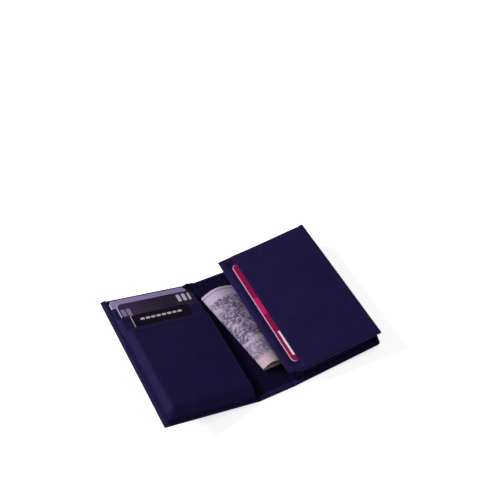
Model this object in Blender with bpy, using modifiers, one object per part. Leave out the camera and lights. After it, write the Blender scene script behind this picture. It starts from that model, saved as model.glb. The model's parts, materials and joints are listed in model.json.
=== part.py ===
"""Trifold wallet in woven fabric, lying half open.

From left to right it is one folded strip: the card panel, the wide spine that lies on the floor,
the bill panel, the narrow inner spine and the flap, which is folded back over the bill panel.
Three stepped pockets on the card panel hold cards upright, the slit in the flap holds one more card
sideways, and a folded banknote sticks out of the bill pocket.

Units are metres. +X runs across the open wallet, +Y to the back, +Z up, and the origin is the middle
of the footprint on the floor. Each panel is drawn flat in the frame of its crease: an empty on the
crease's axis, which turns the panel to its rest angle. In every panel's frame z = 0 is the axis,
FOLD_HEIGHT above the outer face of the fabric.
"""

import math

import bmesh
import bpy
from mathutils import Matrix, Vector

MM = 0.001

# Panel sizes across the wallet and along it, in mm.
DEPTH = 100.3
CARD_PANEL_WIDTH = 63.8
SPINE_WIDTH = 23.7
BILL_PANEL_WIDTH = 60.2
INNER_SPINE_WIDTH = 6.57
FLAP_WIDTH = 63.9
FLAP_DEPTH = 99.7
FLAP_SHIFT = 3.0

# Fold angles at rest, in degrees.
CARD_PANEL_TILT = 14.7
BILL_PANEL_TILT = 5.8
INNER_SPINE_TURN = 66.0
FLAP_TURN = 112.4

# Cloth and board thicknesses, in mm.
SHELL = 0.4
BOARD = 0.4
LINING = 0.3
CARD = 0.76
TAG = 0.3
NOTE = 0.3
GAP = 0.25

# Heights of the layers above the outer face of a panel, in mm.
FOLD_HEIGHT = 1.2
BOARD_LOW = SHELL + GAP
LINING_LOW = BOARD_LOW + BOARD + GAP
LINING_TOP = LINING_LOW + LINING
HEM_LOW = LINING_TOP + GAP
HEM_TOP = HEM_LOW + LINING

# The turned edges, and how far the inner layers stay back from a crease, in mm.
HEM_WIDTH = 3.2
BACK_HEM_WIDTH = 1.6
WALL = 0.4
CREASE_GAP = 0.15
CREASE_RELIEF = 1.6
INNER_SPINE_INSET = 1.0

# Cards, tag and banknote, in mm.
CARD_LONG = 85.6
CARD_SHORT = 53.98
CARD_CORNER = 3.18
TAG_SIZE = (40.0, 70.0)
TAG_CORNER = 1.2
NOTE_LENGTH = 127.0
NOTE_BEND = 1.5
NOTE_ENDS = (17.5, 84.0)
NOTE_FOLD_X = (11.4, 0.6)
NOTE_CLEARANCE = 0.4
NOTE_LOW = LINING_TOP + NOTE_CLEARANCE
NOTE_HUMP = (2.9, 4.0)
NOTE_HUMP_LEAN = 0.8
NOTE_HUMP_SHARPNESS = 1.2
NOTE_IN_POCKET = 1.5
NOTE_TAPER = 0.02
BEND_STEPS = 10
HUMP_STEPS = 10

# Pockets of the card panel: left edge, mouth, sewn bottom and height of cavity, in mm from the
# panel's outer left edge and front edge.
POCKET_RIGHT = CARD_PANEL_WIDTH - 2.4
POCKET_FRONT = 3.45
POCKET_STEP = 0.75
POCKETS = (
    {"name": "pocket_rear", "left": 3.5, "mouth": 91.0, "seam": 12.1, "room": CARD},
    {"name": "pocket_middle", "left": 6.1, "mouth": 81.7, "seam": 7.1, "room": CARD},
    {"name": "pocket_front", "left": 9.6, "mouth": 71.0, "seam": 11.2, "room": TAG},
)
CARD_LEFT = (4.15, 6.8, 11.7)
CARD_TOP = (98.3, 93.3, 81.8)
CARD_WAY = LINING_TOP + 0.1

# Bill pocket, in mm from the bill panel's left crease and front edge.
BILL_LEFT = 2.0
BILL_RIGHT = 57.5
BILL_SIDE = 3.5
BILL_TOP_LEFT = 7.2
BILL_TOP_RIGHT = 5.65

# Slit pocket of the flap, in mm from the flap's free edge and front edge.
SLIT = 10.3
RED_CARD_EDGE = 6.3
RED_CARD_FRONT = 7.1
SLIT_POCKET_CLEARANCE = 0.6
SLIT_POCKET_HEIGHT = SHELL + GAP + CARD
FACING_LOW = SLIT_POCKET_HEIGHT + GAP
FLAP_LINING_LOW = FACING_LOW + SHELL + GAP

# Rounding of the parts' edges, and how far a cutter reaches past what it cuts, in mm.
EDGE_BEVEL = 0.12
CORNER_SEGMENTS = 6
SHARP_DEGREES = 40
BEYOND = 2.0


def make_collection(name):
    collection = bpy.data.collections.new(name)
    bpy.context.scene.collection.children.link(collection)
    return collection


def make_material(name, colour, roughness, metallic=0.0):
    material = bpy.data.materials.new(name)
    material.use_nodes = True
    shader = material.node_tree.nodes["Principled BSDF"]
    shader.inputs["Base Color"].default_value = (*colour, 1.0)
    shader.inputs["Roughness"].default_value = roughness
    shader.inputs["Metallic"].default_value = metallic
    return material


def make_empty(name, parent, location, turn_degrees):
    """A crease: an empty on the crease's axis, turned about Y."""
    empty = bpy.data.objects.new(name, None)
    PARTS.objects.link(empty)
    empty.parent = parent
    empty.location = Vector(location) * MM
    empty.rotation_euler = (0.0, math.radians(turn_degrees), 0.0)
    return empty


def add_object(name, bm, parent, material, collection):
    mesh = bpy.data.meshes.new(name)
    bmesh.ops.recalc_face_normals(bm, faces=bm.faces)
    bm.to_mesh(mesh)
    bm.free()
    obj = bpy.data.objects.new(name, mesh)
    collection.objects.link(obj)
    obj.parent = parent
    if material:
        mesh.materials.append(material)
    return obj


def box_mesh(low, high):
    """A box between two corners given in mm."""
    low, high = Vector(low) * MM, Vector(high) * MM
    bm = bmesh.new()
    size = high - low
    matrix = Matrix.Translation((low + high) / 2) @ Matrix.Diagonal((*size, 1.0))
    bmesh.ops.create_cube(bm, size=1.0, matrix=matrix)
    return bm


def round_corners(bm, radius):
    """Round the four upright edges of a box."""
    upright = [e for e in bm.edges if abs(e.verts[0].co.z - e.verts[1].co.z) > 1e-6]
    bmesh.ops.bevel(
        bm, geom=upright, offset=radius * MM, segments=CORNER_SEGMENTS, profile=0.5, affect="EDGES"
    )


def soften(obj, width=EDGE_BEVEL):
    bevel = obj.modifiers.new("soft_edges", "BEVEL")
    bevel.width = width * MM
    bevel.segments = 1
    bevel.limit_method = "ANGLE"
    bevel.angle_limit = math.radians(SHARP_DEGREES)
    return obj


def plate(name, low, high, parent, material, corner=0.0):
    bm = box_mesh(low, high)
    if corner:
        round_corners(bm, corner)
    return soften(add_object(name, bm, parent, material, PARTS))


def cut(obj, name, low, high):
    """Take a box, given in mm in the object's own frame, out of the object."""
    cut_mesh(obj, name, box_mesh(low, high))


def cut_mesh(obj, name, bm):
    cutter = add_object(name, bm, obj.parent, None, CUTTERS)
    cutter.hide_render = True
    cutter.display_type = "WIRE"
    boolean = obj.modifiers.new(name, "BOOLEAN")
    boolean.operation = "DIFFERENCE"
    boolean.solver = "EXACT"
    boolean.object = cutter


def level(height):
    """A height above the panel's outer face, as z in the panel's frame."""
    return height - FOLD_HEIGHT


def hemmed_shell(name, left, right, hem_left, relief_left, relief_right, parent):
    """The outer fabric of a panel: a sheet whose front and back edges, and on the card panel the
    left edge too, are turned up and over the lining. Beside a crease only the sheet is left."""
    shell = plate(
        name, (left, 0.0, level(0.0)), (right, DEPTH, level(HEM_TOP)), parent, NAVY_OUTER
    )
    cavity_left = left + WALL if hem_left else left - BEYOND
    window_left = left + HEM_WIDTH if hem_left else left - BEYOND
    cut(
        shell,
        name + "_cavity",
        (cavity_left, WALL, level(SHELL)),
        (right + BEYOND, DEPTH - WALL, level(HEM_LOW)),
    )
    cut(
        shell,
        name + "_window",
        (window_left, HEM_WIDTH, level(SHELL + BOARD)),
        (right + BEYOND, DEPTH - BACK_HEM_WIDTH, level(HEM_TOP + BEYOND)),
    )
    if relief_left:
        cut(
            shell,
            name + "_relief_left",
            (left - BEYOND, -BEYOND, level(SHELL)),
            (left + relief_left, DEPTH + BEYOND, level(HEM_TOP + BEYOND)),
        )
    if relief_right:
        cut(
            shell,
            name + "_relief_right",
            (right - relief_right, -BEYOND, level(SHELL)),
            (right + BEYOND, DEPTH + BEYOND, level(HEM_TOP + BEYOND)),
        )
    return shell


def inner_layers(prefix, board_name, left, right, parent):
    """The board and the lining that lie in a hemmed shell."""
    inset = WALL + GAP
    plate(
        board_name,
        (left, inset, level(BOARD_LOW)),
        (right, DEPTH - inset, level(BOARD_LOW + BOARD)),
        parent,
        BOARD_GREY,
    )
    plate(
        prefix + "_lining",
        (left, inset, level(LINING_LOW)),
        (right, DEPTH - inset, level(LINING_TOP)),
        parent,
        NAVY_LINING,
    )


def make_spine(parent):
    hemmed_shell("spine_shell", CREASE_GAP, SPINE_WIDTH - CREASE_GAP, False, 0, 0, parent)
    inset = CREASE_GAP + GAP
    inner_layers("spine", "spine_interlining", inset, SPINE_WIDTH - inset, parent)


def make_card_panel(crease):
    """The left panel, drawn with its crease at x = 0 and its free edge at -CARD_PANEL_WIDTH."""
    left = -CARD_PANEL_WIDTH
    shell = hemmed_shell("card_panel_shell", left, -CREASE_GAP, True, 0, CREASE_RELIEF, crease)
    cut(
        shell,
        "card_way_over_back_hem",
        (left + HEM_WIDTH, DEPTH - HEM_WIDTH, level(CARD_WAY)),
        (BEYOND, DEPTH + BEYOND, level(HEM_TOP + BEYOND)),
    )
    inset = WALL + GAP
    inner_layers("card_panel", "card_panel_board", left + inset, -CREASE_RELIEF - GAP, crease)
    low = LINING_TOP + GAP
    for pocket in POCKETS:
        low = make_pocket(pocket, low, left, crease)


def make_pocket(pocket, low, left, crease):
    """A patch pocket open at the back: a sheet on walls at its left, right and sewn bottom. Returns
    the height at which the next pocket starts."""
    top = low + pocket["room"] + GAP + LINING
    x_low = left + pocket["left"]
    x_high = left + POCKET_RIGHT
    front = POCKET_FRONT + POCKET_STEP * POCKETS.index(pocket)
    body = plate(
        pocket["name"],
        (x_low, front, level(low)),
        (x_high, pocket["mouth"], level(top)),
        crease,
        NAVY_OUTER,
    )
    cut(
        body,
        pocket["name"] + "_cavity",
        (x_low + WALL, pocket["seam"], level(low) - BEYOND),
        (x_high - WALL, DEPTH, level(top - LINING)),
    )
    return top + GAP


def make_cards(crease):
    """The two cards and the tag that stand in the pockets, lowest first."""
    left = -CARD_PANEL_WIDTH
    names = ("lilac_card", "grey_card", "black_tag")
    sizes = ((CARD_SHORT, CARD_LONG), (CARD_SHORT, CARD_LONG), TAG_SIZE)
    corners = (CARD_CORNER, CARD_CORNER, TAG_CORNER)
    materials = (CARD_LILAC, CARD_GREY, TAG_BLACK)
    low = LINING_TOP + GAP
    for i, name in enumerate(names):
        x_low = left + CARD_LEFT[i]
        top = CARD_TOP[i]
        thickness = POCKETS[i]["room"]
        plate(
            name,
            (x_low, top - sizes[i][1], level(low)),
            (x_low + sizes[i][0], top, level(low + thickness)),
            crease,
            materials[i],
            corners[i],
        )
        low += thickness + GAP + LINING + GAP


def make_bill_panel(crease):
    """The right panel and its bill pocket, which is open towards the spine."""
    right = BILL_PANEL_WIDTH
    hemmed_shell(
        "bill_panel_shell", CREASE_GAP, right - CREASE_GAP, False, CREASE_RELIEF, CREASE_RELIEF, crease
    )
    inset = CREASE_RELIEF + GAP
    inner_layers("bill_panel", "bill_panel_board", inset, right - inset, crease)
    bm = box_mesh(
        (BILL_LEFT, BILL_SIDE, level(LINING_TOP + GAP)),
        (BILL_RIGHT, DEPTH - BILL_SIDE, level(BILL_TOP_LEFT)),
    )
    lower_right_top(bm, BILL_TOP_LEFT - BILL_TOP_RIGHT)
    pocket = soften(add_object("bill_pocket", bm, crease, NAVY_LINING, PARTS))
    cavity = box_mesh(
        (BILL_LEFT - BEYOND, BILL_SIDE + WALL, level(0.0)),
        (BILL_RIGHT - WALL, DEPTH - BILL_SIDE - WALL, level(BILL_TOP_LEFT - LINING)),
    )
    lower_right_top(cavity, BILL_TOP_LEFT - BILL_TOP_RIGHT)
    cut_mesh(pocket, "bill_pocket_cavity", cavity)


def lower_right_top(bm, drop):
    """Slope the top of a box down to the right, under the flap."""
    x_high = max(v.co.x for v in bm.verts)
    z_high = max(v.co.z for v in bm.verts)
    corner = [v for v in bm.verts if x_high - v.co.x < 1e-6 and z_high - v.co.z < 1e-6]
    bmesh.ops.translate(bm, verts=corner, vec=(0, 0, -drop * MM))


def make_inner_spine(crease):
    """The narrow second spine, shorter than the panels so that its ends are pinched in."""
    front = FLAP_SHIFT + INNER_SPINE_INSET
    back = DEPTH - INNER_SPINE_INSET
    plate(
        "inner_spine_shell",
        (CREASE_GAP, front, level(0.0)),
        (INNER_SPINE_WIDTH - CREASE_GAP, back, level(SHELL)),
        crease,
        NAVY_OUTER,
    )
    plate(
        "inner_spine_lining",
        (CREASE_RELIEF, front + HEM_WIDTH, level(LINING_LOW)),
        (INNER_SPINE_WIDTH - CREASE_RELIEF, back - HEM_WIDTH, level(LINING_TOP)),
        crease,
        NAVY_LINING,
    )


def make_flap(crease):
    """The flap: the outer fabric from its crease to the slit, the facing under it, whose free edge
    shows beside the slit, the lining, and the card between fabric and facing."""
    front = FLAP_SHIFT
    back = front + FLAP_DEPTH
    slit = FLAP_WIDTH - SLIT
    card_high = FLAP_WIDTH - RED_CARD_EDGE
    card_low = card_high - CARD_SHORT
    card_front = front + RED_CARD_FRONT
    shell = plate(
        "flap_shell",
        (CREASE_GAP, front, level(0.0)),
        (slit, back, level(SLIT_POCKET_HEIGHT)),
        crease,
        NAVY_OUTER,
    )
    cut(
        shell,
        "slit_pocket_cavity",
        (card_low - GAP, card_front - SLIT_POCKET_CLEARANCE, level(SHELL)),
        (slit + BEYOND, card_front + CARD_LONG + SLIT_POCKET_CLEARANCE, level(FACING_LOW + BEYOND)),
    )
    cut(
        shell,
        "flap_crease_relief",
        (-BEYOND, front - BEYOND, level(SHELL)),
        (CREASE_RELIEF, back + BEYOND, level(FACING_LOW + BEYOND)),
    )
    plate(
        "flap_facing",
        (CREASE_RELIEF, front, level(FACING_LOW)),
        (FLAP_WIDTH, back, level(FACING_LOW + SHELL)),
        crease,
        NAVY_OUTER,
    )
    plate(
        "flap_lining",
        (CREASE_RELIEF + GAP, front + HEM_WIDTH, level(FLAP_LINING_LOW)),
        (FLAP_WIDTH - HEM_WIDTH, back - HEM_WIDTH, level(FLAP_LINING_LOW + LINING)),
        crease,
        NAVY_LINING,
    )
    plate(
        "red_card",
        (card_low, card_front, level(SHELL + GAP)),
        (card_high, card_front + CARD_LONG, level(SHELL + GAP + CARD)),
        crease,
        CARD_RED,
        CARD_CORNER,
    )


def note_path(fold_x, hump):
    """The note's middle line seen from the front, in mm: from the end of the lower half, round the
    soft fold at fold_x over the spine, up over the hump of the springy upper half and down to its
    end in the pocket. Right of the spine it follows the tilted bill panel."""
    half = (NOTE_LENGTH - math.pi * NOTE_BEND) / 2
    centre_x = fold_x + NOTE_BEND + NOTE / 2
    centre_z = NOTE_LOW + NOTE / 2 + NOTE_BEND
    mouth = SPINE_WIDTH + NOTE_IN_POCKET
    end_x = centre_x + half
    middle_x = mouth + (end_x - mouth) / 2
    lower = [(x, centre_z - NOTE_BEND) for x in (end_x, middle_x, SPINE_WIDTH)]
    bend = []
    for i in range(BEND_STEPS):
        angle = -math.pi / 2 - math.pi * i / BEND_STEPS
        bend.append((centre_x + NOTE_BEND * math.cos(angle), centre_z + NOTE_BEND * math.sin(angle)))
    upper = []
    for i in range(HUMP_STEPS + 1):
        along = i / HUMP_STEPS
        rise = hump * math.sin(math.pi * along**NOTE_HUMP_LEAN) ** NOTE_HUMP_SHARPNESS
        upper.append((centre_x + along * (mouth - centre_x), centre_z + NOTE_BEND + rise))
    for x in (middle_x, end_x):
        upper.append((x, centre_z + NOTE_BEND - NOTE_TAPER * (x - mouth)))
    return [on_bill_panel(x, z) for x, z in lower + bend + upper]


def on_bill_panel(x, z):
    """A point right of the spine, turned up with the bill panel."""
    if x <= SPINE_WIDTH:
        return Vector((x, z))
    tilt = math.radians(BILL_PANEL_TILT)
    along, above = x - SPINE_WIDTH, z - FOLD_HEIGHT
    return Vector(
        (
            SPINE_WIDTH + along * math.cos(tilt) - above * math.sin(tilt),
            FOLD_HEIGHT + along * math.sin(tilt) + above * math.cos(tilt),
        )
    )


def make_note(parent):
    """The banknote: a loft between the path at its front edge and the path at its back edge. The
    fold runs askew, so the two paths differ."""
    bm = bmesh.new()
    rings = []
    for y, fold_x, hump in zip(NOTE_ENDS, NOTE_FOLD_X, NOTE_HUMP):
        path = note_path(fold_x, hump)
        outer, inner = [], []
        for i, point in enumerate(path):
            step = path[min(i + 1, len(path) - 1)] - path[max(i - 1, 0)]
            side = Vector((-step.y, step.x)).normalized() * (NOTE / 2)
            outer.append(bm.verts.new(Vector((point.x + side.x, y, point.y + side.y)) * MM))
            inner.append(bm.verts.new(Vector((point.x - side.x, y, point.y - side.y)) * MM))
        rings.append((outer, inner))
    (outer_a, inner_a), (outer_b, inner_b) = rings
    for i in range(len(outer_a) - 1):
        j = i + 1
        bm.faces.new((outer_a[i], outer_a[j], outer_b[j], outer_b[i]))
        bm.faces.new((inner_a[i], inner_b[i], inner_b[j], inner_a[j]))
        bm.faces.new((outer_a[i], inner_a[i], inner_a[j], outer_a[j]))
        bm.faces.new((outer_b[i], outer_b[j], inner_b[j], inner_b[i]))
    for i in (0, -1):
        bm.faces.new((outer_a[i], outer_b[i], inner_b[i], inner_a[i]))
    note = add_object("banknote", bm, parent, NOTE_PAPER, PARTS)
    note.data.shade_smooth()
    note.data.set_sharp_from_angle(angle=math.radians(SHARP_DEGREES))
    return note


def footprint_centre(objects):
    """The middle of the box round the evaluated parts, seen from above."""
    graph = bpy.context.evaluated_depsgraph_get()
    corners = [
        obj.evaluated_get(graph).matrix_world @ Vector(corner)
        for obj in objects
        if obj.type == "MESH"
        for corner in obj.evaluated_get(graph).bound_box
    ]
    lows = Vector(min(c[i] for c in corners) for i in range(3))
    highs = Vector(max(c[i] for c in corners) for i in range(3))
    middle = (lows + highs) / 2
    return Vector((middle.x, middle.y, lows.z))


for old in list(bpy.data.objects):
    bpy.data.objects.remove(old, do_unlink=True)

PARTS = make_collection("trifold_wallet")
CUTTERS = make_collection("cutters")

NAVY_OUTER = make_material("navy_canvas", (0.022, 0.012, 0.055), 0.85)
NAVY_LINING = make_material("navy_lining", (0.014, 0.008, 0.038), 0.8)
BOARD_GREY = make_material("stiffener_board", (0.35, 0.33, 0.3), 0.9)
CARD_LILAC = make_material("card_lilac", (0.42, 0.33, 0.6), 0.35)
CARD_GREY = make_material("card_dark_grey", (0.07, 0.045, 0.09), 0.4)
TAG_BLACK = make_material("tag_black", (0.008, 0.006, 0.01), 0.5)
CARD_RED = make_material("card_red", (0.6, 0.008, 0.07), 0.35)
NOTE_PAPER = make_material("note_paper", (0.6, 0.48, 0.62), 0.7)


def main():
    wallet = make_empty("wallet", None, (0, 0, 0), 0)
    make_spine(make_empty("spine_frame", wallet, (0, 0, FOLD_HEIGHT), 0))
    card_crease = make_empty("card_panel_crease", wallet, (0, 0, FOLD_HEIGHT), CARD_PANEL_TILT)
    make_card_panel(card_crease)
    make_cards(card_crease)
    bill_crease = make_empty(
        "bill_panel_crease", wallet, (SPINE_WIDTH, 0, FOLD_HEIGHT), -BILL_PANEL_TILT
    )
    make_bill_panel(bill_crease)
    inner_crease = make_empty(
        "inner_spine_crease", bill_crease, (BILL_PANEL_WIDTH, 0, 0), -INNER_SPINE_TURN
    )
    make_inner_spine(inner_crease)
    flap_crease = make_empty("flap_crease", inner_crease, (INNER_SPINE_WIDTH, 0, 0), -FLAP_TURN)
    make_flap(flap_crease)
    make_note(wallet)
    bpy.context.view_layer.update()
    wallet.location = -footprint_centre(PARTS.objects)
    bpy.context.view_layer.update()


main()
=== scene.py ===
"""The looks of the trifold wallet: fabric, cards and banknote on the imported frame.

The wallet is one folded strip. Every piece is laid out in the flat frame of its panel, in mm:
x from the panel's crease, v from the wallet's front edge and h above the outer face of the fabric.
place() turns such a point to where the panel stands at rest.
"""

import json
import math

import bmesh
import bpy
import numpy as np
from mathutils import Matrix, Vector


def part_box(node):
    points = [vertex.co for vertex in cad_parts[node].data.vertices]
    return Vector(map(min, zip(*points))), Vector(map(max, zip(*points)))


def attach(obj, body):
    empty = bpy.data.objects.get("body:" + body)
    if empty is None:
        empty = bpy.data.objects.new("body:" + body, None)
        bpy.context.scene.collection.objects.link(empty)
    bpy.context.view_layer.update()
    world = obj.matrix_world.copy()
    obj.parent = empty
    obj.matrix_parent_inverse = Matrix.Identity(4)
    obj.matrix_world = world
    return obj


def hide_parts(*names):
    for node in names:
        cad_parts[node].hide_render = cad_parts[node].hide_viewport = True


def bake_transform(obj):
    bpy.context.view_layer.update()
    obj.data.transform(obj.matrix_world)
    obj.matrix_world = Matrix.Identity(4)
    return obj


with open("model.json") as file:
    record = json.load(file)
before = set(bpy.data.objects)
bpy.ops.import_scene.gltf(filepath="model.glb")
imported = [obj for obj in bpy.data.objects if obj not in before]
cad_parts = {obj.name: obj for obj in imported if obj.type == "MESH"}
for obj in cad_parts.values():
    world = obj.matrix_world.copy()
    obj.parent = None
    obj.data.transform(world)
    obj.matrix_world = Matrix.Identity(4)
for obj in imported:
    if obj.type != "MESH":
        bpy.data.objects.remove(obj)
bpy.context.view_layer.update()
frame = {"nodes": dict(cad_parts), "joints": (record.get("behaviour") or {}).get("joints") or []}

MM = 0.001
JOINTS = {joint["name"]: joint for joint in frame["joints"]}


def node_span(node, axis):
    low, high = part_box(node)
    return low[axis] / MM, high[axis] / MM


# Driving sizes in mm, from the frame where it has them.
FRONT, BACK = node_span("spine_shell", 1)
DEPTH = BACK - FRONT
FOLD_HEIGHT = JOINTS["card_panel_fold"]["pos_m"][2] / MM
SPINE_WIDTH = (JOINTS["bill_panel_fold"]["pos_m"][0] - JOINTS["card_panel_fold"]["pos_m"][0]) / MM
CARD_PANEL_WIDTH = 63.8
BILL_PANEL_WIDTH = 60.2
INNER_SPINE_WIDTH = 6.57
FLAP_WIDTH = 63.9
FLAP_FRONT = node_span("flap_shell", 1)[0] - FRONT
FLAP_BACK = node_span("flap_shell", 1)[1] - FRONT
SLIT = FLAP_WIDTH - 10.3

# Cloth thicknesses, the heights of the layers' middles, and hem widths, in mm.
CLOTH = 0.26
LINING_CLOTH = 0.22
POCKET_CLOTH = 0.28
TURNED_IN = 0.16  # what a turned-in edge adds to a pocket's cloth
SHELL_H = 0.2
LINING_H = 1.28
EDGE_H = 1.42
HEM_H = 1.6
FLAP_EDGE_H = 1.9
FLAP_LINING_H = 2.28
FLAP_HEM_H = 2.54
HEM = 3.2
BACK_HEM = 1.9
INNER_SPINE_BOW = 0.5  # how far the inner spine curves out between its creases
CREASE_H = FOLD_HEIGHT - 0.12  # every layer is pressed to this height at a crease
PINCH_REACH = 1.3

# Where each panel's strip starts, measured along the unfolded wallet from the first crease.
RUN = {
    "card_panel": 0.0,
    "spine": 0.0,
    "bill_panel": SPINE_WIDTH,
    "inner_spine": SPINE_WIDTH + BILL_PANEL_WIDTH,
    "flap": SPINE_WIDTH + BILL_PANEL_WIDTH + INNER_SPINE_WIDTH,
}
CREASES = (0.0, RUN["bill_panel"], RUN["inner_spine"], RUN["flap"])


def rest_turn(joint):
    """How far a fold is turned up at rest: its range starts with the wallet flat."""
    return math.radians(-JOINTS[joint]["range_deg"][0])


def crease_point(joint):
    x, _, z = JOINTS[joint]["pos_m"]
    return x / MM, z / MM


ANGLE = {"spine": 0.0, "card_panel": -rest_turn("card_panel_fold")}
ANGLE["bill_panel"] = rest_turn("bill_panel_fold")
ANGLE["inner_spine"] = ANGLE["bill_panel"] + rest_turn("inner_spine_fold")
ANGLE["flap"] = ANGLE["inner_spine"] + rest_turn("flap_fold")
ORIGIN = {
    "spine": crease_point("card_panel_fold"),
    "card_panel": crease_point("card_panel_fold"),
    "bill_panel": crease_point("bill_panel_fold"),
    "inner_spine": crease_point("inner_spine_fold"),
    "flap": crease_point("flap_fold"),
}


def place(body, x, v, h, turn=0.0):
    """A point of a panel, in the row frame, in mm."""
    if body == "inner_spine":
        h += INNER_SPINE_BOW * math.sin(math.pi * min(max(x / INNER_SPINE_WIDTH, 0), 1))
    angle = ANGLE[body] + turn
    start_x, start_z = ORIGIN[body]
    up = h - FOLD_HEIGHT
    return (
        start_x + x * math.cos(angle) - up * math.sin(angle),
        FRONT + v,
        start_z + x * math.sin(angle) + up * math.cos(angle),
    )


def axes(body):
    """The directions of a panel's x and h at rest."""
    along, up = math.cos(ANGLE[body]), math.sin(ANGLE[body])
    return Vector((along, 0, up)), Vector((-up, 0, along))


def ease(t):
    t = min(max(t, 0.0), 1.0)
    return t * t * (3 - 2 * t)


def blend_knots(run, knots):
    """A value along the strip that eases from each knot (run, value) to the next."""
    if run <= knots[0][0]:
        return knots[0][1]
    for (a, low), (b, high) in zip(knots, knots[1:]):
        if run <= b:
            return low + (high - low) * ease((run - a) / (b - a))
    return knots[-1][1]


def pinch(run):
    """1 away from the creases, and 0 at a crease, where the layers are pressed together."""
    near = min(abs(run - crease) for crease in CREASES)
    return 1.0 - math.exp(-((near / PINCH_REACH) ** 2))


def pressed(h, run):
    """A layer's height, pressed to just below the fold's own axis at a crease."""
    return CREASE_H + (h - CREASE_H) * pinch(run) if h > CREASE_H else h


# ---- meshes


def finish_mesh(obj, material):
    obj.data.materials.append(material)
    obj.data.shade_smooth()
    bpy.context.scene.collection.objects.link(obj)
    return obj


def grid_mesh(name, points, uvs, material, thickness=CLOTH, loop=False):
    """A sheet through a grid of points in mm, with the flat cloth's coordinates as its UV map, and
    its thickness from Solidify. A loop's rows close on themselves."""
    points = np.asarray(points, float)
    rows, columns = points.shape[:2]
    faces = []
    for i in range(rows - 1):
        for j in range(columns if loop else columns - 1):
            near, far, k = i * columns, (i + 1) * columns, (j + 1) % columns
            faces.append((near + j, near + k, far + k, far + j))
    mesh = bpy.data.meshes.new(name)
    mesh.from_pydata((points.reshape(-1, 3) * MM).tolist(), [], faces)
    flat = np.asarray(uvs, float).reshape(-1, 2) * MM
    corner = np.zeros(len(mesh.loops), np.int64)
    mesh.loops.foreach_get("vertex_index", corner)
    layer = mesh.uv_layers.new(name="cloth")
    layer.data.foreach_set("uv", flat[corner].astype(np.float32).ravel())
    obj = finish_mesh(bpy.data.objects.new(name, mesh), material)
    if thickness:
        solid = obj.modifiers.new("thickness", "SOLIDIFY")
        solid.thickness = thickness * MM
        solid.offset = 0.0
        obj.modifiers.new("even_shading", "WEIGHTED_NORMAL")
    return obj


def steps(low, high, most):
    """Evenly spaced numbers from low to high, no further apart than most."""
    return list(np.linspace(low, high, max(2, math.ceil(abs(high - low) / most) + 1)))


NEAR_CREASE = 3.0
FINE_STEP, COARSE_STEP = 0.4, 3.0
FOLD_STEPS = 7


def crossing(body_a, body_b, crease_body, a_from, b_to):
    """Spots (body, x, turn, run) along the strip, from x = a_from on body_a over a crease to
    x = b_to on body_b, and close together near the crease. The crease is x = 0 of crease_body, and
    turn is how far its spots are turned from crease_body's own angle."""
    widths = {
        "card_panel": 0.0,
        "spine": SPINE_WIDTH,
        "bill_panel": BILL_PANEL_WIDTH,
        "inner_spine": INNER_SPINE_WIDTH,
    }
    a_end = widths[body_a]
    spots = []
    if a_from < a_end - NEAR_CREASE:
        coarse = steps(a_from, a_end - NEAR_CREASE, COARSE_STEP)[:-1]
        spots += [(body_a, x, 0.0) for x in coarse]
        a_from = a_end - NEAR_CREASE
    spots += [(body_a, x, 0.0) for x in steps(a_from, a_end, FINE_STEP)[:-1]]
    turns = (ANGLE[body_a] - ANGLE[crease_body], ANGLE[body_b] - ANGLE[crease_body])
    spots += [(crease_body, 0.0, turn) for turn in np.linspace(*turns, FOLD_STEPS)]
    spots += [(body_b, x, 0.0) for x in steps(0.0, min(NEAR_CREASE, b_to), FINE_STEP)[1:]]
    if b_to > NEAR_CREASE:
        spots += [(body_b, x, 0.0) for x in steps(NEAR_CREASE, b_to, COARSE_STEP)[1:]]
    return [(body, x, turn, RUN[body] + x) for body, x, turn in spots]


# Where the strip's front and back edges lie along the unfolded wallet, as knots (run, v): the cloth
# bulges at the back of the card panel's crease and draws in at the inner spine.
FRONT_KNOTS = [
    (CREASES[2] - 1.0, 0.0),
    (CREASES[2] + 0.5, 0.4),
    (CREASES[2] + INNER_SPINE_WIDTH / 2, 4.8),
    (CREASES[3] - 1.0, FLAP_FRONT + 0.6),
    (CREASES[3] - 0.1, FLAP_FRONT + 0.2),
    (CREASES[3] + 2.0, FLAP_FRONT),
]
BACK_KNOTS = [
    (-5.0, DEPTH),
    (-2.0, DEPTH + 1.4),
    (0.6, DEPTH + 1.1),
    (3.5, DEPTH - 0.1),
    (SPINE_WIDTH, DEPTH - 0.3),
    (CREASES[2] - 1.0, DEPTH),
    (CREASES[2] + INNER_SPINE_WIDTH / 2, DEPTH - 2.0),
    (CREASES[3] - 1.0, DEPTH - 1.0),
    (CREASES[3] - 0.1, FLAP_BACK + 1.2),
    (CREASES[3] + 3.0, FLAP_BACK + 0.9),
    (CREASES[3] + 40.0, FLAP_BACK + 0.2),
]


def layer_knots(on_panel, on_flap):
    """A layer's height along the wallet: it thins out over the inner spine."""
    return [
        (CREASES[2] - 3.0, on_panel),
        (CREASES[2], CREASE_H),
        (CREASES[3], CREASE_H),
        (CREASES[3] + 4.0, on_flap),
    ]


EDGE_KNOTS = layer_knots(EDGE_H, FLAP_EDGE_H)
HEM_KNOTS = layer_knots(HEM_H, FLAP_HEM_H)
LINING_KNOTS = layer_knots(LINING_H, FLAP_LINING_H)

ARC_STEPS = 6
HEM_MIDDLE, HEM_SAG = 0.6, 0.35  # where a hem's middle point lies, and its share of the hem's rise
FACE_STEP = 4.0


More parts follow.
